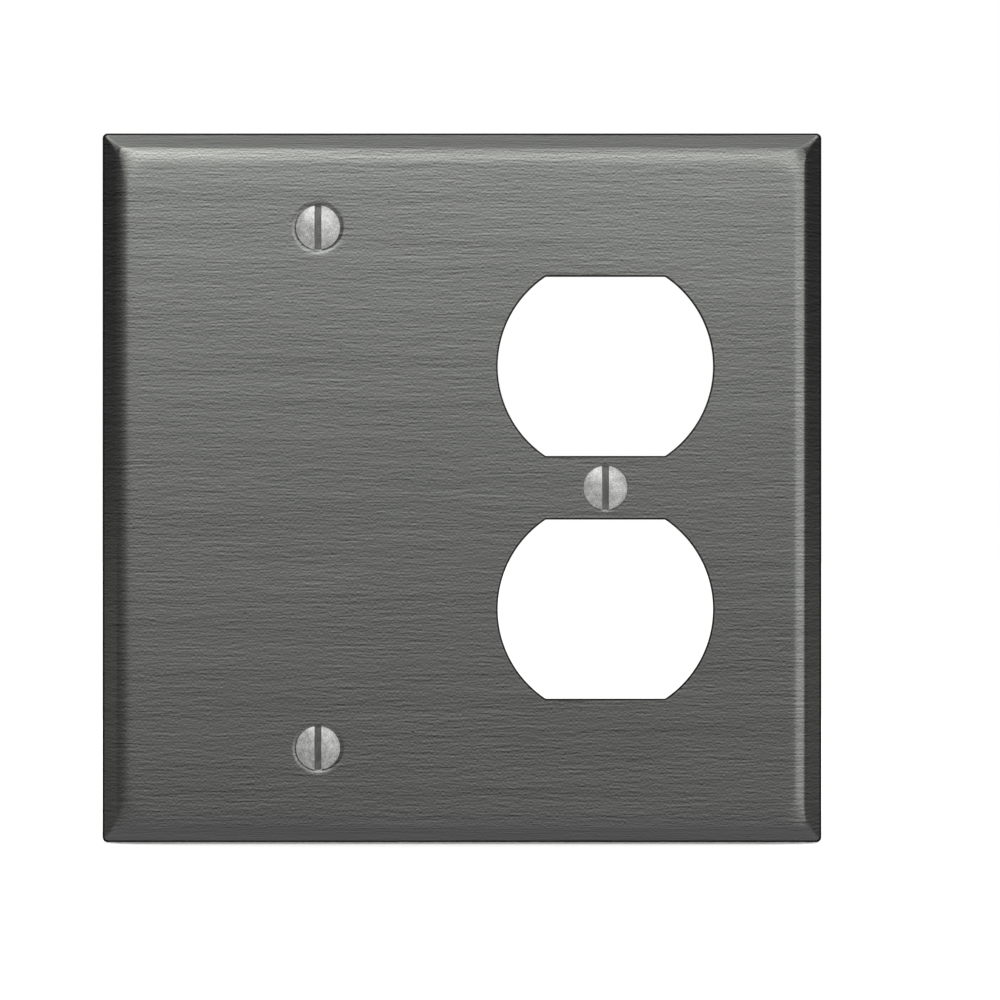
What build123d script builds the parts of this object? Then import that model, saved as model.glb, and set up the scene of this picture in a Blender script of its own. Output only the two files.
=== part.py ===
from build123d import *
import os
from math import cos, floor, radians, sin, tan

# Two-gang metal wall plate, upright as it hangs on a wall.
# Millimetres. The front faces -Y, +X is to the viewer's right, +Z is up.
# The origin is the middle of the rim plane, which lies on the wall.

# --- plate: outside size and section ---
plate_width = 115.9
plate_height = 114.3
plate_depth = 5.6
sheet = 0.8
bevel_angle = 61.4
shoulder_radius = 2.5
mitre_radius = 0.8
inner_mitre_radius = 0.3

# --- layout of the two gangs ---
gang_pitch = 46.02
box_screw_pitch = 83.34
receptacle_pitch = 38.9

# --- receptacle openings: a round hole with a flat top and bottom ---
opening_diameter = 34.5
opening_height = 28.7
opening_corner_radius = 0.5

# --- formed countersinks that take the screw heads ---
cone_half_angle = 41.0
screw_hole_radius = 2.6
box_sink_radius = 3.8
box_sink_edge = 1.5
receptacle_sink_radius = 3.55
receptacle_sink_edge = 0.95
sink_land = 0.6

# --- number 6-32 slotted oval-head screws, undercut, 5/16 in long ---
head_radius = 3.545
head_band = 0.2
head_dome = 1.05
head_cone_depth = 1.47
neck_radius = 1.4
neck_end = 2.3
screw_length = 7.94
thread_radius = 1.7526
thread_pitch = 0.79375
thread_depth = 0.487
crest_flat = 0.1
slot_width = 1.1
slot_depth = 1.5
seat_gap = 0.06

left_gang_x = -gang_pitch / 2
right_gang_x = gang_pitch / 2
cone_slope = tan(radians(cone_half_angle))

# Section drawings lie in these planes: local x along the row, local y to the front.
across_plate = Plane((0, 0, 0), x_dir=(1, 0, 0), z_dir=(0, 0, -1))
down_plate = Plane((0, 0, 0), x_dir=(0, 0, 1), z_dir=(1, 0, 0))


def bevelled_bar(span, length, plane, inset):
    """A bar with the plate's bevelled section, its skin set in by inset."""
    base = span - 2 * inset / sin(radians(bevel_angle))
    rise = plate_depth - inset
    run = rise / tan(radians(bevel_angle))
    outline = Polyline(
        (-base / 2, 0),
        (base / 2, 0),
        (base / 2 - run, rise),
        (-base / 2 + run, rise),
        close=True,
    )
    return extrude(plane * make_face(outline), length / 2, both=True)


def pressed_block(inset, corner_radius):
    """The solid under a skin parallel to the plate's outside, set in by inset."""
    across = bevelled_bar(plate_width, plate_height, across_plate, inset)
    down = bevelled_bar(plate_height, plate_width, down_plate, inset)
    front, mitres, _ = (across & down).edges().group_by(Axis.Y)
    rolled = fillet(front, shoulder_radius - inset)
    rounded = fillet(mitres, corner_radius)
    return rolled & rounded


def front_plane(x, z):
    """The front face at (x, z), with local z pointing back into the plate."""
    return Plane((x, -plate_depth, z), x_dir=(1, 0, 0), z_dir=(0, 1, 0))


def turned(section, plane):
    """A section drawn as (radius, distance back) turned about the plane's axis."""
    return plane * revolve(Plane.XZ * section, Axis.Z)


def formed_sink(plane, sink_radius, edge_radius):
    """The sheet pressed back into a cone round a screw hole, as a separate ring."""
    slope = radians(90 - cone_half_angle)
    along = (-cos(slope), sin(slope))
    inward = (sin(slope), cos(slope))
    bend = (sink_radius + edge_radius * tan(slope / 2), edge_radius)

    def on_bend(radius, turn):
        return (bend[0] - radius * sin(turn), bend[1] - radius * cos(turn))

    back_radius = edge_radius - sheet
    top, lower = on_bend(edge_radius, 0), on_bend(edge_radius, slope)
    reach = (lower[0] - screw_hole_radius) / cos(slope)
    lip = (lower[0] + reach * along[0], lower[1] + reach * along[1])
    back_lip = (lip[0] + sheet * inward[0], lip[1] + sheet * inward[1])
    back_lower, back_top = on_bend(back_radius, slope), on_bend(back_radius, 0)
    rim = bend[0] + sink_land
    outline = [
        Line((rim, 0), top),
        ThreePointArc(top, on_bend(edge_radius, slope / 2), lower),
        Line(lower, lip),
        Line(lip, back_lip),
        Line(back_lip, back_lower),
        ThreePointArc(back_lower, on_bend(back_radius, slope / 2), back_top),
        Line(back_top, (rim, sheet)),
        Line((rim, sheet), (rim, 0)),
    ]
    ring = turned(make_face(Wire(outline)), plane)
    blank = plane * extrude(Circle(rim), plate_depth, both=True)
    return ring, blank


def receptacle_opening(z):
    """The cutter for one receptacle: a disc with a flat top and bottom."""
    disc = Circle(opening_diameter / 2) & Rectangle(opening_diameter, opening_height)
    outline = fillet(disc.vertices(), opening_corner_radius)
    return front_plane(right_gang_x, z) * extrude(outline, plate_depth, both=True)


def wall_plate():
    """The pressed sheet with its two openings and three formed countersinks."""
    skin = pressed_block(0, mitre_radius)
    plate = skin - pressed_block(sheet, inner_mitre_radius)
    for side in (1, -1):
        plate -= receptacle_opening(side * receptacle_pitch / 2)
    for x, z, sink_radius, edge_radius in screw_places.values():
        ring, blank = formed_sink(front_plane(x, z), sink_radius, edge_radius)
        plate = plate - blank + ring
    return plate


def screw_section():
    """Half the screw's section: (radius, distance back from the head's rim)."""
    dome_top = (0, -head_band - head_dome)
    dome_rim = (head_radius, -head_band)
    dome_curve = (head_radius**2 + head_dome**2) / (2 * head_dome)
    half = head_radius / 2
    rise = dome_curve - (dome_curve**2 - half**2) ** 0.5
    dome_middle = (half, dome_top[1] + rise)
    cone_end = head_radius - head_cone_depth * cone_slope
    root_radius = thread_radius - thread_depth
    flank = thread_depth * tan(radians(30))
    points = [
        dome_rim,
        (head_radius, 0),
        (cone_end, head_cone_depth),
        (neck_radius, head_cone_depth),
        (neck_radius, neck_end),
        (root_radius, neck_end),
    ]
    turns = floor((screw_length - neck_end) / thread_pitch)
    thread_start = screw_length - turns * thread_pitch
    for turn in range(turns):
        start = thread_start + turn * thread_pitch
        points.append((root_radius, start))
        points.append((thread_radius, start + flank))
        points.append((thread_radius, start + flank + crest_flat))
        points.append((root_radius, start + 2 * flank + crest_flat))
    points.append((root_radius, screw_length))
    points.append((0, screw_length))
    sides = Polyline(*points)
    dome = ThreePointArc(dome_top, dome_middle, dome_rim)
    axis_line = Line((0, screw_length), dome_top)
    return make_face(Wire([dome, *sides.edges(), axis_line]))


def oval_head_screw(x, z, sink_radius):
    """One screw seated in its countersink, with its slot upright."""
    seat_radius = head_radius + seat_gap / cos(radians(cone_half_angle))
    seat_depth = (sink_radius - seat_radius) / cone_slope
    seat = front_plane(x, z).offset(seat_depth)
    body = turned(screw_section(), seat)
    slot = Box(
        slot_width,
        3 * head_radius,
        2 * slot_depth,
    )
    return body - seat * Pos(0, 0, -head_band - head_dome) * slot


# Each screw: x, z, the countersink's sharp radius and the rounding of its edge.
screw_places = {
    "box_screw_top": (left_gang_x, box_screw_pitch / 2, box_sink_radius, box_sink_edge),
    "box_screw_bottom": (left_gang_x, -box_screw_pitch / 2, box_sink_radius, box_sink_edge),
    "receptacle_screw": (right_gang_x, 0, receptacle_sink_radius, receptacle_sink_edge),
}

os.makedirs("parts", exist_ok=True)
export_step(wall_plate(), "parts/wall_plate.step")
for name, (x, z, sink_radius, edge_radius) in screw_places.items():
    export_step(oval_head_screw(x, z, sink_radius), f"parts/{name}.step")
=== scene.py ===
from bisect import bisect
from math import asin, atan2, ceil, cos, pi, radians, sin, sqrt, tan

import bmesh
import bpy
from mathutils import Matrix, Vector


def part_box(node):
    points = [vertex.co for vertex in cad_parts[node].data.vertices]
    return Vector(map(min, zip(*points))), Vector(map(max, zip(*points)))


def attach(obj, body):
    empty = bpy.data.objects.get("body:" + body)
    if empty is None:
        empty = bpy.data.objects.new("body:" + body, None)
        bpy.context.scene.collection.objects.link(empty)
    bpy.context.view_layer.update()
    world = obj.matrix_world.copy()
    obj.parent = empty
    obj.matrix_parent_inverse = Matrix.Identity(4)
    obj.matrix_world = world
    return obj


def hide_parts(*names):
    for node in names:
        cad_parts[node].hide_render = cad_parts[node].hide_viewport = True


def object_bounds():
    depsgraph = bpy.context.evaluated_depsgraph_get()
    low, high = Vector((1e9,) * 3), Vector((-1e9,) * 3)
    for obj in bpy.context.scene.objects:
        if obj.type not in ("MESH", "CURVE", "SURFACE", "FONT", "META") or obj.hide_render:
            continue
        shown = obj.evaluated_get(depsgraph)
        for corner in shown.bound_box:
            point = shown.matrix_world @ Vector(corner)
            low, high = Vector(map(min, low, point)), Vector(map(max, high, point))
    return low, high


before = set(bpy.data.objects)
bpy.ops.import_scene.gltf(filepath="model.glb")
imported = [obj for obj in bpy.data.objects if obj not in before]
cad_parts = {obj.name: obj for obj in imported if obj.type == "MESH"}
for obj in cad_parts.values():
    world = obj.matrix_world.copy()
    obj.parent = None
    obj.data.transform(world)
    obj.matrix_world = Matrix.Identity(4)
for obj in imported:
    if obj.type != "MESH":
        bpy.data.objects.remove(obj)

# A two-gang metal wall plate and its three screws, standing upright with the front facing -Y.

cad_low, cad_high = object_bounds()
MM = 0.001

# --- plate section, as the sheet is pressed ---
plate_low, plate_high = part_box("wall_plate")
half_width, half_height = plate_high.x, plate_high.z
face_y = plate_low.y
sheet = 0.8 * MM
bevel = radians(61.4)
shoulder_length = 3.95 * MM
shoulder_easing = 2.0
rim_round = 0.06 * MM
# The width of flat face kept beside each bent edge, so that the rest of the face shades flat.
support = 0.35 * MM

# --- the cut attribute is 1 on the sheet's cut edge, which the material darkens as painted shade, and 0 on the finish ---
# From the rim up the bevel it stays 1 to the first distance and reaches 0 at the second.
dark_line = 0.24 * MM
cut_line = 0.49 * MM
# Behind the rim it falls within this distance to its level on the sheet's cut walls, where the
# painted shade is lighter.
dark_edge = 0.1 * MM
wall_cut = 0.38
# Its level where the face begins to roll into a receptacle opening.
rolled_cut = 0.62

# --- the corners are tightest part-way up the bevel and open out towards the face ---
tight_corner = 0.6 * MM
tight_inset = 0.8 * MM
corner_opening = 0.35 / MM
widest_corner = 4.0 * MM
sheet_corner = 0.3 * MM

# --- layout: the screws' axes give the gangs; the receptacle spacing is standard ---
SCREWS = ("box_screw_top", "box_screw_bottom", "receptacle_screw")
receptacle_pitch = 38.9 * MM
opening_radius = 17.25 * MM
opening_half_height = 14.35 * MM
opening_corner = 0.5 * MM
punched_edge = 0.18 * MM

# --- formed countersinks: the cone's radius at the face and the rounding of its edge ---
sink_slope = radians(49)
hole_radius = 2.6 * MM
SINKS = {
    "box_screw_top": (3.8 * MM, 1.5 * MM),
    "box_screw_bottom": (3.8 * MM, 1.5 * MM),
    "receptacle_screw": (3.55 * MM, 0.95 * MM),
}

# --- number 6-32 oval-head screw ---
head_radius = 3.545 * MM
head_band = 0.2 * MM
head_dome = 1.05 * MM
head_edge = 0.05 * MM
head_cone_depth = 1.47 * MM
head_cone_slope = tan(radians(41))
neck_radius = 1.4 * MM
neck_end = 2.0 * MM
screw_length = 7.94 * MM
thread_radius = 1.7526 * MM
thread_pitch = 0.79375 * MM
thread_depth = 0.487 * MM
crest_flat = 0.1 * MM
slot_width = 1.1 * MM
slot_depth = 1.5 * MM
slot_edge = 0.07 * MM
dome_curve = (head_radius**2 + head_dome**2) / (2 * head_dome)
thread_flank_angle = radians(30)
# The thread grows to its full depth over this share of its first turn.
thread_run_in = 0.9
# The painted shade in the slot is at its darkest from this depth on.
slot_shade_depth = 0.6 * slot_depth

# --- how finely each curve is stepped ---
CORNER_STEPS = 8
BEVEL_STEPS = 4
SHOULDER_STEPS = 24
ROLL_STEPS = 5
SINK_FRONT_STEPS = 12
SINK_BACK_STEPS = 8
HOLE_STEPS = 72
ARC_STEPS = 40
DOME_STEPS = 16
SCREW_STEPS = 72

# --- points closer than these are one point; edges bent by more degrees are shaded sharp ---
plate_weld = 1e-7
screw_weld = 2e-7
on_plane = 1e-6
plate_sharp = 35
screw_sharp = 38

# --- brushing: the gap from a streak to its shadow, and from one row to the next in the noise ---
streak_gap = 0.27 * MM
row_step = 7.37


def screw_axis(name):
    """Where a screw's axis crosses the face: x and z of its CAD node's middle."""
    low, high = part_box(name)
    return (low.x + high.x) / 2, (low.z + high.z) / 2


# ---------------------------------------------------------------- mesh helpers


class Sheet:
    """A mesh gathered from closed loops of points. Bridged loops have as many points each."""

    def __init__(self):
        self.bm = bmesh.new()
        self.cut = self.bm.verts.layers.float.new("cut")

    def loop(self, points, cut):
        verts = [self.bm.verts.new(p) for p in points]
        for vert in verts:
            vert[self.cut] = cut
        return verts

    def bridge(self, first, second):
        count = len(first)
        for i in range(count):
            j = (i + 1) % count
            self.bm.faces.new((first[i], first[j], second[j], second[i]))

    def skin(self, loops):
        """Bridges each (points, cut) loop to the next. Returns the vertices of the end loops."""
        made = [self.loop(points, cut) for points, cut in loops]
        for first, second in zip(made, made[1:]):
            self.bridge(first, second)
        return made[0], made[-1]

    def fill(self, loops):
        """Fills the flat region between loops, one of which is its outside."""
        edges = []
        for verts in loops:
            pairs = zip(verts, verts[1:] + verts[:1])
            edges += [self.bm.edges.get(p) or self.bm.edges.new(p) for p in pairs]
        bmesh.ops.triangle_fill(self.bm, use_beauty=True, edges=edges)

    def finish(self, name, sharp_angle):
        bmesh.ops.recalc_face_normals(self.bm, faces=self.bm.faces)
        mesh = bpy.data.meshes.new(name)
        self.bm.to_mesh(mesh)
        self.bm.free()
        mesh.shade_smooth()
        mesh.set_sharp_from_angle(angle=radians(sharp_angle))
        piece = bpy.data.objects.new(name, mesh)
        bpy.context.scene.collection.objects.link(piece)
        return piece


def arc(centre, radius, start, end, steps):
    """Points of an arc in a section, as (across, depth)."""
    turns = [start + (end - start) * i / steps for i in range(steps + 1)]
    return [(centre[0] + radius * cos(t), centre[1] + radius * sin(t)) for t in turns]


# ---------------------------------------------------------------- plate


def corner_radius(inset, skin=0):
    """The corner's radius in plan at a place in from the rim, for a skin that far inside."""
    outside = min(tight_corner + corner_opening * (inset - tight_inset) ** 2, widest_corner)
    return max(outside - skin, sheet_corner)


def outline(inset, y, corner):
    """The plate's rounded outline, set in from the rim's edge, at a depth."""
    across, up = half_width - inset - corner, half_height - inset - corner
    signs = ((1, 1), (-1, 1), (-1, -1), (1, -1))
    points = []
    for quarter, (side, level) in enumerate(signs):
        for i in range(CORNER_STEPS + 1):
            turn = (quarter + i / CORNER_STEPS) * pi / 2
            x = side * across + corner * cos(turn)
            points.append((x, y, level * up + corner * sin(turn)))
    return points


def bent_section():
    """The bent rim's outer section, from the rim in: (inset, y, tilt, length from the face's edge).

    The shoulder leaves the flat face gently and tightens as it reaches the straight bevel.
    """
    step = shoulder_length / SHOULDER_STEPS
    across, back, curve = 0, 0, [(0, 0, 0, 0)]
    for i in range(SHOULDER_STEPS):
        middle = bevel * ((i + 0.5) / SHOULDER_STEPS) ** shoulder_easing
        across, back = across + step * cos(middle), back + step * sin(middle)
        tilt = bevel * ((i + 1) / SHOULDER_STEPS) ** shoulder_easing
        curve.append((across, back, tilt, (i + 1) * step))
    slant = (-face_y - back) / sin(bevel)
    for i in range(1, BEVEL_STEPS + 1):
        along = slant * i / BEVEL_STEPS
        place = (across + along * cos(bevel), back + along * sin(bevel))
        curve.append((*place, bevel, shoulder_length + along))
    whole = curve[-1][0]
    section = []
    for over, back, tilt, length in reversed(curve):
        section.append((whole - over, face_y + back, tilt, length))
    return section


bend = bent_section()
face_inset = bend[-1][0]


def rim_skins(plate_mesh):
    """The outside and inside of the bevelled rim. Returns the loops that bound the flat face."""
    reach = rim_round / tan(bevel / 2)
    edge = arc((reach, -rim_round), rim_round, pi / 2, 3 * pi / 2 - bevel, ROLL_STEPS)
    lines = [(dark_line, -dark_line * tan(bevel), 1), (cut_line, -cut_line * tan(bevel), 0)]
    flat = face_inset + support
    inner_start = sheet / sin(bevel)
    section = [(inner_start, 0, wall_cut), (reach + dark_edge, 0, wall_cut)]
    section += [(inset, y, 1) for inset, y in edge] + lines
    section += [(inset, y, 0) for inset, y, _, _ in bend[1:]] + [(flat, face_y, 0)]
    outside = [(outline(inset, y, corner_radius(inset)), cut) for inset, y, cut in section]
    inner = [(i + sheet * sin(tilt), y + sheet * cos(tilt)) for i, y, tilt, _ in bend[1:]]
    inner.append((flat, face_y + sheet))
    # The inside starts on the same loop as the outside, which is later welded to it.
    inside = [(outline(inner_start, 0, corner_radius(inner_start)), wall_cut)]
    inside += [(outline(inset, y, corner_radius(inset, sheet)), 0) for inset, y in inner]
    _, face_loop = plate_mesh.skin(outside)
    _, back_loop = plate_mesh.skin(inside)
    return face_loop, back_loop


def round_loop(x, z, radius, y):
    """A circle round a screw's axis, at a depth."""
    turns = [2 * pi * i / HOLE_STEPS for i in range(HOLE_STEPS)]
    return [(x + radius * cos(t), y, z + radius * sin(t)) for t in turns]


def sink_skin(plate_mesh, name):
    """A screw hole's pressed cone, front and back. Returns its loops on the two flat faces."""
    x, z = screw_axis(name)
    sink_radius, edge_radius = SINKS[name]
    centre = (sink_radius + edge_radius * tan(sink_slope / 2), edge_radius)
    leaned = -pi / 2 - sink_slope
    front = arc(centre, edge_radius, -pi / 2, leaned, SINK_FRONT_STEPS)
    back = arc(centre, edge_radius - sheet, leaned, -pi / 2, SINK_BACK_STEPS)
    reach = (front[-1][0] - hole_radius) / cos(sink_slope)
    lip = (hole_radius, front[-1][1] + reach * sin(sink_slope))
    back_lip = (lip[0] + sheet * sin(sink_slope), lip[1] + sheet * cos(sink_slope))
    flat = centre[0] + support
    section = [(flat, 0, 0)] + [(r, d, 0) for r, d in front] + [(*lip, 1), (*back_lip, wall_cut)]
    section += [(r, d, 0) for r, d in back] + [(flat, sheet, 0)]
    return plate_mesh.skin([(round_loop(x, z, r, face_y + d), cut) for r, d, cut in section])


def opening_loop(x, z, offset, y):
    """A receptacle opening's outline, grown by offset: a round hole with two flats."""
    corner_z = opening_half_height - opening_corner
    corner_x = sqrt((opening_radius - opening_corner) ** 2 - corner_z**2)
    lean = atan2(corner_z, corner_x)
    round_turns = [lean * i / ARC_STEPS for i in range(ARC_STEPS + 1)]
    corner_turns = [lean + (pi / 2 - lean) * i / CORNER_STEPS for i in range(1, CORNER_STEPS + 1)]
    round_radius = opening_radius + offset
    small_radius = opening_corner + offset
    quarter = [(round_radius * cos(t), round_radius * sin(t)) for t in round_turns]
    for t in corner_turns:
        quarter.append((corner_x + small_radius * cos(t), corner_z + small_radius * sin(t)))
    points = []
    for side, level in ((1, 1), (-1, 1), (-1, -1), (1, -1)):
        ordered = quarter if side * level > 0 else quarter[::-1]
        points += [(x + side * a, y, z + level * b) for a, b in ordered]
    # The quarters meet on the same points, of which one each is kept.
    kept = []
    for point, before in zip(points, points[-1:] + points[:-1]):
        if (Vector(point) - Vector(before)).length > plate_weld:
            kept.append(point)
    return kept


def opening_skin(plate_mesh, x, z):
    """The punched edge of one receptacle opening, rolled over a little at the front."""
    rolled = arc((punched_edge, punched_edge), punched_edge, -pi / 2, -pi, ROLL_STEPS)
    section = [(punched_edge + support, 0, 0), (*rolled[0], rolled_cut)]
    section += [(offset, d, 1) for offset, d in rolled[1:]]
    section += [(0, sheet, wall_cut), (support, sheet, 0)]
    loops = [(opening_loop(x, z, offset, face_y + d), cut) for offset, d, cut in section]
    return plate_mesh.skin(loops)


def unrolled(value, half):
    """How far a point lies from the middle once the bent rim is laid flat."""
    inset = half - abs(value)
    if inset >= face_inset:
        return value
    above = min(max(bisect(bend, (inset,)), 1), len(bend) - 1)
    (inset_a, _, _, length_a), (inset_b, _, _, length_b) = bend[above - 1], bend[above]
    share = (inset - inset_a) / (inset_b - inset_a)
    length = length_a + (length_b - length_a) * share
    return (half - face_inset + length) * (1 if value > 0 else -1)


def lay_grain(piece):
    """A UV map in metres on the unrolled sheet, which the brushing follows."""
    mesh = piece.data
    grain = mesh.uv_layers.new(name="grain")
    for face in mesh.polygons:
        on_side = abs(face.normal.x) > abs(face.normal.z)
        for corner_index in face.loop_indices:
            point = mesh.vertices[mesh.loops[corner_index].vertex_index].co
            across = unrolled(point.x, half_width) if on_side else point.x
            up = point.z if on_side else unrolled(point.z, half_height)
            grain.data[corner_index].uv = (across, up)


def make_plate():
    """The whole pressed sheet as one closed mesh."""
    mesh = Sheet()
    loops = [rim_skins(mesh)]
    loops += [sink_skin(mesh, name) for name in SCREWS]
    receptacle_x, receptacle_z = screw_axis("receptacle_screw")
    for side in (1, -1):
        loops.append(opening_skin(mesh, receptacle_x, receptacle_z + side * receptacle_pitch / 2))
    mesh.fill([front for front, _ in loops])
    mesh.fill([back for _, back in loops])
    bmesh.ops.remove_doubles(mesh.bm, verts=mesh.bm.verts, dist=plate_weld)
    piece = mesh.finish("plate_sheet", plate_sharp)
    lay_grain(piece)
    return piece


# ---------------------------------------------------------------- screws


def thread_column(turn, start, end):
    """One lengthwise line of the thread at a share of a turn, as (radius, distance back).

    Also returns how many of its points make one pitch.
    """
    flank = thread_depth * tan(thread_flank_angle)
    root = thread_pitch - 2 * flank - crest_flat
    stops = (0, root, root + flank, root + flank + crest_flat)
    rises = (0, 0, 1, 1)
    root_radius = thread_radius - thread_depth
    turns = ceil((end - start) / thread_pitch) + 2
    column = []
    for k in range(turns):
        for stop, rise in zip(stops, rises):
            at = start + (k - 1 + turn) * thread_pitch + stop
            at = min(max(at, start), end)
            grown = min(1.0, (at - start) / (thread_run_in * thread_pitch))
            column.append((root_radius + rise * min(thread_depth * grown, end - at), at))
    return column, len(stops)


def head_column():
    """The head's section from the top of its dome to the neck: (radius, distance back)."""
    top = -head_band - head_dome
    spread = asin(head_radius / dome_curve)
    turns = [spread * i / DOME_STEPS for i in range(1, DOME_STEPS)]
    dome = [(dome_curve * sin(t), top + dome_curve * (1 - cos(t))) for t in turns]
    dome_drop, eased = 0.35 * head_edge, 0.3 * head_edge
    edge = [
        (head_radius - head_edge, -head_band - dome_drop),
        (head_radius - eased, -head_band + eased),
        (head_radius, -head_band + head_edge),
        (head_radius, -head_edge),
        (head_radius - head_edge, head_edge),
    ]
    cone_end = head_radius - head_cone_depth * head_cone_slope
    under = [
        (cone_end + head_edge, head_cone_depth - head_edge),
        (cone_end - head_edge, head_cone_depth),
        (neck_radius + head_edge, head_cone_depth),
        (neck_radius, head_cone_depth + head_edge),
        (neck_radius, neck_end - head_edge),
        (thread_radius - thread_depth, neck_end),
    ]
    return top, dome + edge + under


def screw_body():
    """The whole screw without its slot, its axis along Y and its head's rim at y = 0."""
    top, head = head_column()
    bm = bmesh.new()
    columns = []
    for j in range(SCREW_STEPS):
        thread, per_pitch = thread_column(j / SCREW_STEPS, neck_end, screw_length)
        turn = 2 * pi * j / SCREW_STEPS
        line = head + thread
        columns.append([bm.verts.new((r * cos(turn), s, r * sin(turn))) for r, s in line])
    apex = bm.verts.new((0, top, 0))
    tip = bm.verts.new((0, screw_length, 0))
    last = len(columns[0]) - 1
    for j, column in enumerate(columns):
        following = columns[(j + 1) % SCREW_STEPS]
        # The last column meets the first one a pitch further on, which closes the helix.
        shift = per_pitch if j == SCREW_STEPS - 1 else 0
        bm.faces.new((apex, column[0], following[0]))
        for i in range(last):
            shifted = i >= len(head)
            a = min(i + shift, last) if shifted else i
            b = min(i + 1 + shift, last) if i + 1 >= len(head) else i + 1
            corners = [column[i], column[i + 1], following[b], following[a]]
            corners = [v for n, v in enumerate(corners) if v not in corners[:n]]
            if len(corners) > 2:
                bm.faces.new(corners)
        bm.faces.new((tip, following[last], column[last]))
    bmesh.ops.remove_doubles(bm, verts=bm.verts, dist=screw_weld)
    bmesh.ops.dissolve_degenerate(bm, edges=bm.edges, dist=screw_weld)
    bmesh.ops.recalc_face_normals(bm, faces=bm.faces)
    mesh = bpy.data.meshes.new("screw_body")
    bm.to_mesh(mesh)
    bm.free()
    return mesh


def slot_cutter():
    """A bar across the head, as wide and deep as the driver slot."""
    bm = bmesh.new()
    bmesh.ops.create_cube(bm, size=1)
    top = -head_band - head_dome
    size = Vector((slot_width, 2 * slot_depth, 3 * head_radius))
    bmesh.ops.transform(bm, verts=bm.verts, matrix=Matrix.LocRotScale((0, top, 0), None, size))
    mesh = bpy.data.meshes.new("slot_cutter")
    bm.to_mesh(mesh)
    bm.free()
    return mesh


def on_slot_side(edge):
    """Whether an edge is a sharp one along the top or the ends of the slot's two sides."""
    middle = (edge.verts[0].co + edge.verts[1].co) / 2
    on_side = all(abs(abs(v.co.x) - slot_width / 2) < on_plane for v in edge.verts)
    floor_y = -head_band - head_dome + slot_depth
    above_floor = middle.y < floor_y - on_plane
    return on_side and above_floor and edge.calc_face_angle(0) > radians(30)


def slotted_mesh():
    """The screw's mesh with its driver slot cut and the slot's edges eased."""
    scene = bpy.context.scene
    body = bpy.data.objects.new("screw_blank", screw_body())
    cutter = bpy.data.objects.new("slot_cutter", slot_cutter())
    for item in (body, cutter):
        scene.collection.objects.link(item)
    cut = body.modifiers.new("slot", "BOOLEAN")
    cut.operation = "DIFFERENCE"
    cut.solver = "EXACT"
    cut.object = cutter
    graph = bpy.context.evaluated_depsgraph_get()
    mesh = bpy.data.meshes.new_from_object(body.evaluated_get(graph))
    for item in (body, cutter):
        bpy.data.objects.remove(item)
    bm = bmesh.new()
    bm.from_mesh(mesh)
    bmesh.ops.remove_doubles(bm, verts=bm.verts, dist=screw_weld)
    eased = [edge for edge in bm.edges if on_slot_side(edge)]
    bmesh.ops.bevel(
        bm, geom=eased, offset=slot_edge, segments=2, affect="EDGES", clamp_overlap=True
    )
    bmesh.ops.recalc_face_normals(bm, faces=bm.faces)
    bm.to_mesh(mesh)
    bm.free()
    mesh.shade_smooth()
    mesh.set_sharp_from_angle(angle=radians(screw_sharp))
    return mesh


def recess_at(point):
    """How far inside the slot or the thread a point of the screw lies, from 0 to 1."""
    if point.y > neck_end:
        return min(max((thread_radius - sqrt(point.x**2 + point.z**2)) / thread_depth, 0), 1)
    top = -head_band - head_dome
    dome = top + dome_curve - sqrt(dome_curve**2 - point.x**2 - point.z**2)
    in_slot = abs(point.x) < slot_width / 2 + on_plane and point.y < slot_depth
    return min(max((point.y - dome) / slot_shade_depth, 0), 1) if in_slot else 0


def mark_recesses(mesh):
    """An attribute that the screw's material darkens by, as painted shade, and roughens by."""
    recess = mesh.attributes.new("recess", "FLOAT", "POINT")
    for vertex, value in zip(mesh.vertices, recess.data):
        value.value = recess_at(vertex.co)


def make_screws():
    """One screw for each of the CAD's, in the same place, by the CAD node's name."""
    shape = slotted_mesh()
    mark_recesses(shape)
    pieces = {}
    for name in SCREWS:
        _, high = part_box(name)
        x, z = screw_axis(name)
        mesh = shape.copy()
        piece = bpy.data.objects.new(name + "_threaded", mesh)
        bpy.context.scene.collection.objects.link(piece)
        mesh.transform(Matrix.Translation((x, high.y - screw_length, z)))
        pieces[name] = piece
    return pieces


# ---------------------------------------------------------------- materials


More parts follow.
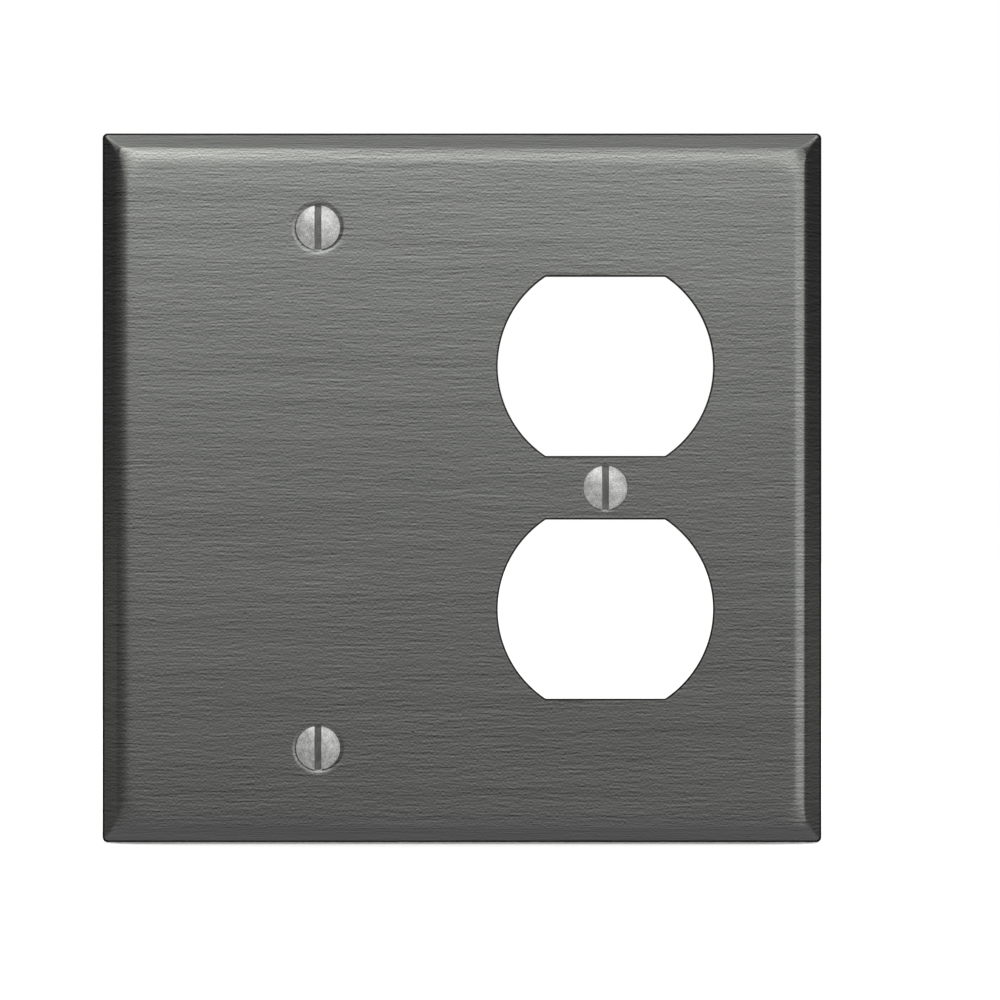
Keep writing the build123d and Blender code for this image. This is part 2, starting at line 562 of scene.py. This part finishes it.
class Nodes:
    """A material's node tree with short ways to add and link nodes."""

    # Takes a noise's narrow spread round its middle to about -1..1.
    CONTRAST = 4
    # What is left of a colour that is fully darkened.
    DARKEST = 0.08

    def __init__(self, name):
        self.material = bpy.data.materials.new(name)
        self.material.use_nodes = True
        self.tree = self.material.node_tree
        self.shader = self.tree.nodes["Principled BSDF"]

    def add(self, kind, **values):
        node = self.tree.nodes.new(kind)
        for key, value in values.items():
            setattr(node, key, value)
        return node

    def link(self, source, target):
        self.tree.links.new(source, target)

    def math(self, operation, first, second=None, clamp=False):
        node = self.add("ShaderNodeMath", operation=operation, use_clamp=clamp)
        for socket, value in zip(node.inputs, (first, second)):
            if value is None:
                continue
            if isinstance(value, (int, float)):
                socket.default_value = value
            else:
                self.link(value, socket)
        return node.outputs[0]

    def spread(self, source, low, high, to_low, to_high):
        """source mapped from low..high to to_low..to_high, clamped."""
        node = self.add("ShaderNodeMapRange", clamp=True)
        self.link(source, node.inputs["Value"])
        values = {"From Min": low, "From Max": high, "To Min": to_low, "To Max": to_high}
        for name, value in values.items():
            node.inputs[name].default_value = value
        return node.outputs["Result"]

    def noise(self, vector, scale, detail=2.0, roughness=0.5):
        """Noise of a vector scaled along each axis, about 0.5."""
        stretched = self.add("ShaderNodeVectorMath", operation="MULTIPLY")
        self.link(vector, stretched.inputs[0])
        stretched.inputs[1].default_value = scale
        node = self.add("ShaderNodeTexNoise", noise_dimensions="3D")
        node.inputs["Scale"].default_value = 1.0
        node.inputs["Detail"].default_value = detail
        node.inputs["Roughness"].default_value = roughness
        self.link(stretched.outputs[0], node.inputs["Vector"])
        return node.outputs["Fac"]

    def centred(self, noise):
        """A noise brought to about -1..1 round zero."""
        return self.math("MULTIPLY", self.math("SUBTRACT", noise, 0.5), self.CONTRAST)

    def lined(self, vector, scale, gap=streak_gap):
        """Fine parallel lines about zero: a stretched noise less the same noise a gap away."""
        moved = self.add("ShaderNodeVectorMath", operation="ADD")
        self.link(vector, moved.inputs[0])
        moved.inputs[1].default_value = (0, gap, 0)
        here = self.noise(vector, scale, detail=1, roughness=0.6)
        beside = self.noise(moved.outputs[0], scale, detail=1, roughness=0.6)
        return self.math("MULTIPLY", self.math("SUBTRACT", here, beside), self.CONTRAST)

    def straight(self, vector, along, row):
        """Lines as in lined, kept straight: each row of this height has its own noise along it."""
        parts = self.add("ShaderNodeSeparateXYZ")
        self.link(vector, parts.inputs[0])
        joined = self.add("ShaderNodeCombineXYZ")
        self.link(parts.outputs["X"], joined.inputs["X"])
        self.link(self.math("SNAP", parts.outputs["Y"], row), joined.inputs["Y"])
        return self.lined(joined.outputs[0], (along, row_step / row, 1), gap=2 * row)

    def total(self, *parts):
        """A weighted sum of (source, weight) pairs."""
        whole = None
        for source, weight in parts:
            part = self.math("MULTIPLY", source, weight)
            whole = part if whole is None else self.math("ADD", whole, part)
        return whole

    def tint(self, factor, dark, light):
        """A mix of two colours, either of them a tuple or a socket."""
        node = self.add("ShaderNodeMix", data_type="RGBA")
        self.link(factor, node.inputs[0])
        first, second = [socket for socket in node.inputs if socket.type == "RGBA"]
        for socket, value in ((first, dark), (second, light)):
            if isinstance(value, tuple):
                socket.default_value = (*value, 1)
            else:
                self.link(value, socket)
        return next(socket for socket in node.outputs if socket.type == "RGBA")

    def darkened(self, colour, factor):
        """A colour taken nearly to black by a factor."""
        shade = self.spread(factor, 0, 1, 1, self.DARKEST)
        node = self.add("ShaderNodeVectorMath", operation="SCALE")
        self.link(colour, node.inputs[0])
        self.link(shade, node.inputs["Scale"])
        return node.outputs[0]

    def bump(self, height, strength, distance):
        """Sets the shader's normal by a height."""
        node = self.add("ShaderNodeBump")
        node.inputs["Strength"].default_value = strength
        node.inputs["Distance"].default_value = distance
        self.link(height, node.inputs["Height"])
        self.link(node.outputs["Normal"], self.shader.inputs["Normal"])


def brushed_stainless():
    """Brushed sheet: fine streaks, soft broad bands, a few pits, painted shade on the cut edges and
    a painted highlight beside them.
    """
    dark_steel, pale_steel = (0.185, 0.190, 0.188), (0.80, 0.815, 0.80)
    # the colour of the painted highlight beside the cut edges
    highlight_steel = (0.9, 0.9, 0.88)
    cells_without_pit = 0.955
    m = Nodes("brushed_stainless")
    grain = m.add("ShaderNodeUVMap", uv_map="grain").outputs["UV"]
    speckle = m.lined(grain, (2200, 6000, 1))
    short = m.straight(grain, 420, 0.135 * MM)
    middling = m.straight(grain, 190, 0.15 * MM)
    long = m.straight(grain, 70, 0.16 * MM)
    soft = m.centred(m.noise(grain, (60, 1500, 1)))
    bands = m.centred(m.noise(grain, (14, 420, 1), detail=3))
    layers = (speckle, 0.25), (short, 0.18), (middling, 0.15), (long, 0.11), (soft, 0.04)
    streaks = m.total(*layers)
    level = m.math("ADD", m.total((streaks, 1.0), (bands, 0.08)), 0.5, clamp=True)
    colour = m.tint(level, dark_steel, pale_steel)
    pits = m.add("ShaderNodeTexVoronoi", voronoi_dimensions="2D", feature="F1")
    pits.inputs["Scale"].default_value = 260
    m.link(grain, pits.inputs["Vector"])
    chosen = m.add("ShaderNodeSeparateColor")
    m.link(pits.outputs["Color"], chosen.inputs[0])
    rare = m.math("GREATER_THAN", chosen.outputs[0], cells_without_pit)
    spot = m.math("MULTIPLY", rare, m.spread(pits.outputs["Distance"], 0.02, 0.045, 1, 0))
    colour = m.darkened(colour, m.math("MULTIPLY", spot, chosen.outputs[1]))
    cut = m.add("ShaderNodeAttribute", attribute_name="cut").outputs["Fac"]
    # painted shade: the colour is taken nearly to black on each cut edge, which is also made
    # rougher
    edge_shade = m.spread(cut, 0.3, 0.6, 0, 1)
    # painted highlight: a lighter band, patchy along the brushing, just inside each cut edge
    beside_cut = m.spread(cut, 0.05, 0.25, 0, 1)
    edge_highlight = m.math("MULTIPLY", beside_cut, m.spread(long, -0.1, 0.2, 0, 1))
    colour = m.tint(m.math("MULTIPLY", edge_highlight, 0.35), colour, highlight_steel)
    # painted shade on the cut edges
    colour = m.darkened(colour, edge_shade)
    m.link(colour, m.shader.inputs["Base Color"])
    rough = m.spread(streaks, -0.4, 0.4, 0.31, 0.41)
    m.link(m.math("ADD", rough, m.math("MULTIPLY", edge_shade, 0.2)), m.shader.inputs["Roughness"])
    m.bump(streaks, 0.25, 0.004 * MM)
    tangent = m.add("ShaderNodeTangent", direction_type="UV_MAP", uv_map="grain")
    m.link(tangent.outputs["Tangent"], m.shader.inputs["Tangent"])
    m.shader.inputs["Metallic"].default_value = 1.0
    m.shader.inputs["Anisotropic"].default_value = 0.75
    m.shader.inputs["Anisotropic Rotation"].default_value = 0.25
    return m.material


def screw_steel():
    """Satin tumbled steel: fine pits, a soft cloud, and painted shade in the slot and the thread's
    roots.
    """
    dark_steel, pale_steel = (0.42, 0.42, 0.42), (0.88, 0.88, 0.87)
    m = Nodes("screw_steel")
    place = m.add("ShaderNodeTexCoord").outputs["Object"]
    grain = m.noise(place, (7000, 7000, 7000), detail=2, roughness=0.7)
    cloud = m.noise(place, (1100, 1100, 1100), detail=3)
    specks = m.total((m.centred(grain), 0.9), (m.centred(cloud), 0.4))
    level = m.math("ADD", specks, 0.5, clamp=True)
    colour = m.tint(level, dark_steel, pale_steel)
    recess = m.add("ShaderNodeAttribute", attribute_name="recess").outputs["Fac"]
    # painted shade: the colour is darker deep in the slot and in the thread's roots
    colour = m.darkened(colour, m.math("MULTIPLY", recess, 0.88))
    m.link(colour, m.shader.inputs["Base Color"])
    rough = m.spread(cloud, 0.3, 0.7, 0.40, 0.52)
    m.link(m.math("ADD", rough, m.math("MULTIPLY", recess, 0.1)), m.shader.inputs["Roughness"])
    m.bump(grain, 0.4, 0.012 * MM)
    m.shader.inputs["Metallic"].default_value = 0.72
    return m.material


# ---------------------------------------------------------------- stage


def stage_floor():
    """A plain pale floor under the plate's lower edge, which the metal doesn't reflect."""
    bm = bmesh.new()
    bmesh.ops.create_grid(bm, x_segments=1, y_segments=1, size=4)
    bmesh.ops.translate(bm, verts=bm.verts, vec=(0, 0, cad_low.z))
    mesh = bpy.data.meshes.new("floor")
    bm.to_mesh(mesh)
    bm.free()
    floor = bpy.data.objects.new("floor", mesh)
    bpy.context.scene.collection.objects.link(floor)
    m = Nodes("pale_floor")
    m.shader.inputs["Base Color"].default_value = (0.92, 0.92, 0.92, 1)
    m.shader.inputs["Roughness"].default_value = 0.9
    m.shader.inputs["Specular IOR Level"].default_value = 0.0
    mesh.materials.append(m.material)
    floor.visible_glossy = False


def soft_light(name, azimuth, elevation, distance, size, power, colour, aim=(0, 0, 0)):
    """A softbox aimed at a point and placed round it. Azimuth 0 is in front, 90 to the right."""
    data = bpy.data.lights.new(name, "AREA")
    data.shape = "RECTANGLE"
    data.size, data.size_y = size
    data.energy = power
    data.color = colour
    turn, lift = radians(azimuth), radians(elevation)
    towards = Vector((sin(turn) * cos(lift), -cos(turn) * cos(lift), sin(lift)))
    light = bpy.data.objects.new(name, data)
    light.location = Vector(aim) + towards * distance
    light.rotation_euler = (-towards).to_track_quat("-Z", "Y").to_euler()
    light.visible_camera = False
    bpy.context.scene.collection.objects.link(light)


def studio_lights():
    """Softboxes in front and overhead, a square one to the right, and three behind on each side.

    Each line gives the azimuth, elevation, distance, size, power, colour and aim.
    """
    warm, cool, dusk = (1.0, 1.0, 0.95), (1.0, 1.0, 1.04), (1.0, 1.0, 0.84)
    wide, widest, square = (0.5, 0.12), (0.9, 0.12), (0.3, 0.3)
    long_strip, strip, short_strip = (0.4, 0.08), (0.25, 0.08), (0.12, 0.05)
    upper, lower = (0, 0, 0.03), (0, 0, -0.045)
    soft_light("front_fill", 0, 3, 0.5, (0.4, 0.1), 0.022, cool)
    soft_light("overhead_far", 0, 20, 0.4, wide, 0.038, warm)
    soft_light("overhead_near", 0, 32, 0.22, strip, 0.103, warm, upper)
    soft_light("top_near", 0, 70, 0.22, long_strip, 0.085, warm, upper)
    soft_light("top_behind", 0, 110, 0.4, widest, 0.160, warm)
    soft_light("right_tall", 45, 5, 0.4, square, 0.19, warm)
    soft_light("left_high", -40, 55, 0.4, (0.2, 0.15), 0.139, warm)
    for side, end in ((1, "right"), (-1, "left")):
        soft_light(f"corner_{end}", 135 * side, 50, 0.4, (0.12, 0.12), 0.06, warm)
        soft_light(f"floor_fill_{end}", 105 * side, 2, 0.2, short_strip, 0.0015, dusk, lower)
        soft_light(f"back_{end}", 160 * side, 5, 0.5, square, 0.15, warm)


def studio_world(pale, fill, floor_glow, dim):
    """White to the camera, soft on matt things, and in reflections a dim room over a pale floor."""
    floor_below, room_above = -0.5, 0.1
    world = bpy.data.worlds.new("studio")
    bpy.context.scene.world = world
    world.use_nodes = True
    tree = world.node_tree
    tree.nodes.clear()
    direction = tree.nodes.new("ShaderNodeTexCoord")
    split = tree.nodes.new("ShaderNodeSeparateXYZ")
    tree.links.new(direction.outputs["Generated"], split.inputs[0])
    room = tree.nodes.new("ShaderNodeMapRange")
    room.interpolation_type = "SMOOTHSTEP"
    room.inputs["From Min"].default_value = floor_below
    room.inputs["From Max"].default_value = room_above
    room.inputs["To Min"].default_value = floor_glow
    room.inputs["To Max"].default_value = dim
    tree.links.new(split.outputs["Z"], room.inputs["Value"])
    path = tree.nodes.new("ShaderNodeLightPath")
    level = tree.nodes.new("ShaderNodeMix")
    level.data_type = "FLOAT"
    level.inputs[2].default_value = fill
    tree.links.new(room.outputs["Result"], level.inputs[3])
    tree.links.new(path.outputs["Is Glossy Ray"], level.inputs[0])
    seen = tree.nodes.new("ShaderNodeMix")
    seen.data_type = "FLOAT"
    seen.inputs[3].default_value = pale
    tree.links.new(path.outputs["Is Camera Ray"], seen.inputs[0])
    tree.links.new(level.outputs[0], seen.inputs[2])
    light = tree.nodes.new("ShaderNodeBackground")
    light.inputs["Color"].default_value = (1, 1, 1, 1)
    tree.links.new(seen.outputs[0], light.inputs["Strength"])
    out = tree.nodes.new("ShaderNodeOutputWorld")
    tree.links.new(light.outputs[0], out.inputs["Surface"])


def place_camera():
    """Square on to the face, through a long lens, a little right of and below the middle."""
    view_width = 161.16 * MM
    right, below = 6.13 * MM, 1.96 * MM
    data = bpy.data.cameras.new("camera")
    data.lens = 200
    data.sensor_width = 36
    distance = view_width * data.lens / data.sensor_width
    camera = bpy.data.objects.new("camera", data)
    camera.location = (right, -distance, -below)
    camera.rotation_euler = (pi / 2, 0, 0)
    data.clip_start = 0.01
    data.clip_end = 20
    bpy.context.scene.collection.objects.link(camera)
    bpy.context.scene.camera = camera


# ---------------------------------------------------------------- the object

place_camera()
plate = make_plate()
plate.data.materials.append(brushed_stainless())
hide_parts("wall_plate")
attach(plate, "plate")

screw_material = screw_steel()
for name, screw in make_screws().items():
    screw.data.materials.clear()
    screw.data.materials.append(screw_material)
    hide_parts(name)
    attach(screw, name)

stage_floor()
studio_world(pale=1.0, fill=1.3, floor_glow=0.16, dim=0.0)
studio_lights()

scene = bpy.context.scene
scene.view_settings.view_transform = "Standard"
scene.view_settings.look = "None"
